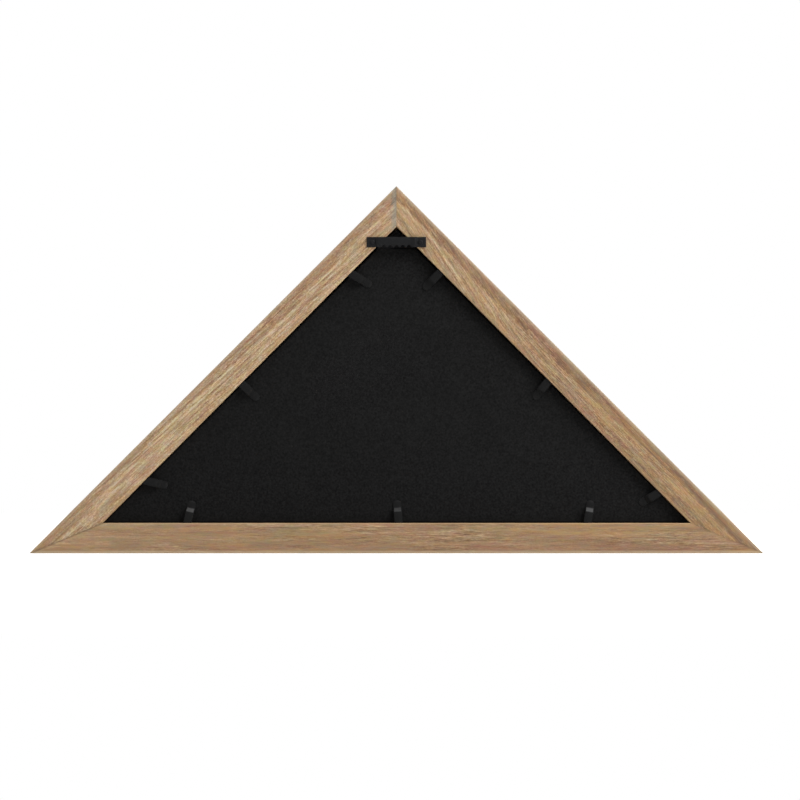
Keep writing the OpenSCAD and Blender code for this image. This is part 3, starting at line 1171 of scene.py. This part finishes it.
def black_board():
    """Thin black-faced hardboard with a fine pebble."""
    f = Finish("black_board")
    place = f.place()
    pebble = f.cells(place, 1500.0)
    cloud = f.noise(place, 55.0, 3.0, 0.6)
    speck = f.noise(place, 900.0, 2.0)
    tone = 1.0 + (cloud - 0.5) * 0.35 + (speck - 0.5) * 2.5
    return f.surface(
        Base_Color=f.shade(BOARD_BLACK, tone),
        Roughness=0.80 + (speck - 0.5) * 0.2,
        Specular_IOR_Level=0.06,
        Normal=f.bump(pebble * 0.6 + speck * 0.4, 0.00010, 0.5),
    )


def black_felt():
    """Short black felt: matted fibres, a soft bloom at a low angle."""
    f = Finish("black_felt")
    place = f.place()
    mat = f.noise(place, 420.0, 3.0, 0.7, 1.2)
    nap = f.noise(place, 26.0, 2.0)
    tone = 1.0 + (mat - 0.5) * 1.1 + (nap - 0.5) * 0.6
    return f.surface(
        Base_Color=f.shade(FELT_BLACK, tone),
        Roughness=0.95,
        Specular_IOR_Level=0.03,
        Sheen_Weight=0.08,
        Sheen_Roughness=0.6,
        Normal=f.bump(mat, 0.00015, 0.5),
    )


def black_liner():
    """Black paper-wrapped spacer strip with a faint laid texture."""
    f = Finish("black_liner")
    place = f.place()
    x, y, z = f.split(place)
    laid = f.noise(f.point(x, y * 6.0, z), 300.0, 3.0, 0.6)
    grain = f.noise(place, 1100.0, 2.0)
    tone = 1.0 + (laid - 0.5) * 0.5 + (grain - 0.5) * 0.4
    return f.surface(
        Base_Color=f.shade(LINER_BLACK, tone),
        Roughness=0.78 + (grain - 0.5) * 0.2,
        Specular_IOR_Level=0.10,
        Normal=f.bump(laid * 0.5 + grain * 0.5, 0.00012, 0.5),
    )


def black_steel():
    """Black strip steel, with a painted highlight where the strip falls to the board and a
    faint one at its tip.
    """
    f = Finish("black_steel")
    place = f.place()
    reach, breadth, highlight_share = f.mark("reach"), f.mark("breadth"), f.mark("highlight_share")
    cloud = f.noise(place, 380.0, 3.0, 0.6)
    scratch = f.noise(place, 2600.0, 2.0, 0.7)
    # Painted highlight: a band where the strip falls to the board, as bright as each tab's
    # share
    fall_end = TAB_LEVEL + TAB_FALL
    fall = reach.ramp(TAB_LEVEL - 0.2, TAB_LEVEL + 0.5)
    fall = fall * reach.ramp(fall_end + 0.3, fall_end - 0.7)
    fall = fall * abs(breadth).ramp(TAB_W / 2 - 0.05, TAB_W / 2 - 0.55)
    # and a faint painted highlight at the pad's tip
    tip = reach.ramp(fall_end + 3.0, fall_end + 4.2)
    highlight = fall * (0.75 + cloud * 0.5) * highlight_share + tip * 0.06
    colour = f.blend(STRIP_BLACK, FALL_HIGHLIGHT_GREY, highlight)
    return f.surface(
        Base_Color=f.shade(colour, 1.0 + (cloud - 0.5) * 0.5),
        Roughness=0.48 + (scratch - 0.5) * 0.3,
        Specular_IOR_Level=0.08,
        Normal=f.bump(scratch, 0.00004, 0.4),
    )


def hanger_steel():
    """Black-lacquered pressed steel, a little orange peel and small chips of bare steel."""
    f = Finish("hanger_steel")
    place = f.place()
    peel = f.noise(place, 1300.0, 2.0)
    cloud = f.noise(place, 180.0, 3.0, 0.6)
    speck = f.noise(place, 3200.0, 2.0, 0.7).ramp(0.66, 0.74)
    colour = f.shade(LACQUER_BLACK, 1.0 + (cloud - 0.5) * 0.8)
    colour = f.blend(colour, CHIPPED_STEEL, speck * 0.5)
    return f.surface(
        Base_Color=colour,
        Roughness=0.45 + (cloud - 0.5) * 0.3,
        Specular_IOR_Level=0.08,
        Normal=f.bump(peel, 0.00005, 0.4),
    )


def wire_steel():
    """Bright drawn wire of the brads."""
    f = Finish("wire_steel")
    place = f.place()
    drawn = f.noise(place, 1800.0, 2.0, 0.6)
    return f.surface(
        Base_Color=f.shade(WIRE_GREY, 0.9 + drawn * 0.2),
        Metallic=1.0,
        Roughness=0.30 + (drawn - 0.5) * 0.2,
        Normal=f.bump(drawn, 0.00003, 0.4),
    )


def clear_glass():
    """Picture glass: clear, a faint green to it, and a mirror sheen that grows at an angle."""
    f = Finish("clear_glass")
    clear = f.add("BsdfTransparent", {"Color": GLASS_TINT})
    mirror = {"Base Color": MIRROR_TINT, "Metallic": 1.0, "Roughness": 0.03}
    sheen = f.add("BsdfPrincipled", mirror)
    facing = Level(f, f.add("LayerWeight", {"Blend": 0.5}).outputs["Facing"])
    share = GLASS_SHEEN + facing**5 * (1.0 - GLASS_SHEEN)
    return f.show(f.add("MixShader", {0: share, 1: clear, 2: sheen}))


# ---- Floor, light and camera ----
WHITE = (1.0, 1.0, 1.0)
FLOOR_SIZE = 12.0
FLOOR_GREY = (0.82, 0.82, 0.82)
FLOOR_GLOW = 0.62
FLOOR_FADE = (0.45, 1.1)
AMBIENT = 0.21

# The soft lights: which way each stands from the case, how far and how wide in metres,
# and its watts
LAMPS = {
    "key_behind": ((-0.60, 0.52, 0.60), 3.0, 1.96, 92.0),
    "key_front": ((-0.45, -0.75, 0.50), 2.6, 1.56, 36.0),
    "top": ((0.25, 0.05, 1.0), 1.8, 1.3, 5.0),
    "side_fill": ((1.0, -0.15, 0.35), 2.4, 1.5, 12.0),
}
LAMPS_AIM = Vector((0, 0, 0.09))

# The camera: square on to the back, a little below the middle of the case
EYE = (-0.00224, 3.027, 0.0961)
LENS = 215.0
SENSOR_W = 36.0
CLIP = (0.1, 50.0)


def floor_finish():
    """Pale floor that shows as white to the eye and still takes the case's shadow."""
    f = Finish("pale_floor")
    x, y, _ = f.split(f.place())
    away = (x * x + y * y).root()
    matte = f.add("BsdfDiffuse", {"Color": FLOOR_GREY})
    glow = f.add("Emission", {"Color": WHITE, "Strength": FLOOR_GLOW})
    white = f.add("Emission", {"Color": WHITE, "Strength": 1.0})
    lit = f.add("AddShader", {0: matte, 1: glow})
    seen = f.add("MixShader", {0: away.ramp(*FLOOR_FADE), 1: lit, 2: white})
    return f.show(f.add("MixShader", {0: f.seen_share(), 1: matte, 2: seen}))


def lay_floor():
    """The floor that the case stands on."""
    clear_bench()
    bpy.ops.mesh.primitive_plane_add(size=FLOOR_SIZE, location=(0, 0, 0))
    floor = named("studio_floor")
    coat(floor, floor_finish())


def light_world():
    """White behind everything, and a softer white that lights the case."""
    world = bpy.data.worlds.new("studio")
    bpy.context.scene.world = world
    f = Finish("studio", world)
    soft = f.add("Background", {"Color": WHITE, "Strength": AMBIENT})
    white = f.add("Background", {"Color": WHITE, "Strength": 1.0})
    f.show(f.add("MixShader", {0: f.seen_share(), 1: soft, 2: white}))


def stand(name, thing, place, way):
    """Stands a light or the camera at a place, looking back along a direction."""
    holder = bpy.data.objects.new(name, thing)
    bpy.context.scene.collection.objects.link(holder)
    holder.location = place
    holder.rotation_mode = "QUATERNION"
    holder.rotation_quaternion = way.to_track_quat("Z", "Y")
    return holder


def set_lights():
    """Plain soft studio light: square lamps that look at the case."""
    for name, (way, distance, size, watts) in LAMPS.items():
        lamp = bpy.data.lights.new(name, "AREA")
        lamp.shape = "SQUARE"
        lamp.size = size
        lamp.energy = watts
        way = Vector(way).normalized()
        stand(name, lamp, LAMPS_AIM + way * distance, way)


def set_camera():
    """A long lens, level, that looks along -Y at the back of the case."""
    camera = bpy.data.cameras.new("eye")
    camera.sensor_width = SENSOR_W
    camera.lens = LENS
    camera.clip_start, camera.clip_end = CLIP
    bpy.context.scene.camera = stand("eye", camera, EYE, Vector((0, 1, 0)))


# ---- Put together ----
def coat(piece, material):
    """Gives a piece one finish all over."""
    piece.data.materials.clear()
    piece.data.materials.append(material)


def dress(piece, material, body, slot, *nodes):
    """Gives a piece its finish, its body and the CAD nodes that it stands for."""
    coat(piece, material)
    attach(piece, body)
    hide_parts(*nodes)


def repaint(material, *nodes):
    """Gives CAD nodes that stay a better finish."""
    for node in nodes:
        coat(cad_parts[node], material)


def build_case(pressed):
    """Models and dresses every piece that shows from the back."""
    rails = (("rail_bottom", BOTTOM), ("rail_right", RIGHT), ("rail_left", LEFT))
    for node, side in rails:
        rail = make_rail("wood_" + node, side)
        dress(rail, driftwood("driftwood_" + node, side), "case", "driftwood", node)
    strip = black_steel()
    for node, tab in make_tabs().items():
        dress(tab, strip, "flex_" + node, "black_steel", node)
    dress(make_board(), black_board(), "backing", "black_board", "back_board")
    dress(make_hanger(), pressed, "case", "black_steel", "sawtooth_hanger")
    dress(make_nails(), pressed, "case", "black_steel", "hanger_nails")


def repaint_cad(pressed):
    """New finishes for the pieces that stay as they were built."""
    repaint(clear_glass(), "glass_pane")
    repaint(black_liner(), "spacer_bottom", "spacer_right", "spacer_left")
    repaint(black_felt(), "board_felt")
    repaint(pressed, "tab_shanks")
    repaint(wire_steel(), "peak_brads", "right_corner_brads", "left_corner_brads")


pressed_steel = hanger_steel()
build_case(pressed_steel)
repaint_cad(pressed_steel)
lay_floor()
light_world()
set_lights()
set_camera()
clear_bench()
bpy.context.scene.view_settings.view_transform = "Standard"
